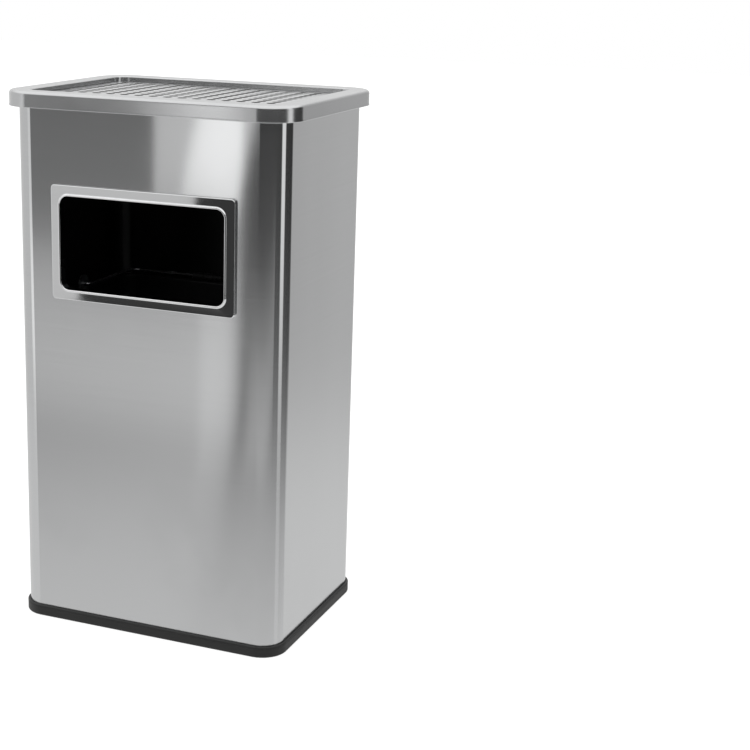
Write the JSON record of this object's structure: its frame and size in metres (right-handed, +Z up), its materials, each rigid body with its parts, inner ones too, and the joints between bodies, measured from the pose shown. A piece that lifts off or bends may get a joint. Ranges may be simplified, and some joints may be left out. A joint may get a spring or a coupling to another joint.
{
  "type": "litter bin",
  "caption": "Free-standing rectangular stainless litter bin with a framed front mouth, a lift-off lid with a perforated ash grille over an ash pan, and a lift-out liner with a bail.",
  "frame": {"origin": "on the floor under the middle of the bin", "axes": "+Z up, -Y out of the front through the mouth, +X to the right of someone looking along +Y at the mouth"},
  "size_m": [0.352, 0.267, 0.62],
  "materials": {
    "casing_steel": "horizontal brushed grain, satin",
    "lid_steel": "fine satin",
    "grille_steel": "fine satin, perforated",
    "pan_steel": "dull mill finish",
    "mill_steel": "mill finish",
    "galvanised": "galvanised",
    "bezel_chrome": "mirror plated",
    "zinc_fasteners": "zinc plated",
    "bright_wire": "drawn, zinc plated",
    "liner_black": "black powder coat",
    "trim_rubber": "moulded, matt",
    "grip_plastic": "matt"
  },
  "bodies": {
    "casing": {"casing_shell": "casing_steel", "top_frame": "mill_steel", "floor_pan": "galvanised", "base_trim": "trim_rubber", "base_screws": "zinc_fasteners", "weld_nuts": "zinc_fasteners", "liner_stops": "galvanised", "mouth_bezel": "bezel_chrome", "bezel_retainer": "galvanised", "bezel_screws": "zinc_fasteners"},
    "lid": {"lid_frame": "lid_steel", "lid_collar": "mill_steel"},
    "grille": {"ash_grille": "grille_steel"},
    "pan": {"ash_pan": "pan_steel"},
    "liner": {"liner_wall": "liner_black", "liner_bottom": "liner_black", "rim_wire": "bright_wire", "bail_ears": "galvanised", "ear_rivets": "zinc_fasteners"},
    "bail": {"bail_wire": "bright_wire", "bail_grip": "grip_plastic"}
  },
  "joints": [
    {"name": "lid_lift", "type": "slide", "parent": "casing", "child": "lid", "axis": [0, 0, 1], "range_m": [0, 0.8]},
    {"name": "liner_lift", "type": "slide", "parent": "casing", "child": "liner", "axis": [0, 0, 1], "range_m": [0, 0.64]},
    {"name": "grille_lift", "type": "slide", "parent": "lid", "child": "grille", "axis": [0, 0, 1], "range_m": [0, 0.15]},
    {"name": "pan_lift", "type": "slide", "parent": "lid", "child": "pan", "axis": [0, 0, 1], "range_m": [0, 0.075]},
    {"name": "bail_swing", "type": "hinge", "parent": "liner", "child": "bail", "pos_m": [0, 0, 0.3806], "axis": [1, 0, 0], "range_deg": [0, 180]}
  ],
  "couplings": [
    {"joint": "liner_lift", "follows": "lid_lift", "ratio": 0.8},
    {"joint": "pan_lift", "follows": "grille_lift", "ratio": 0.5}
  ]
}
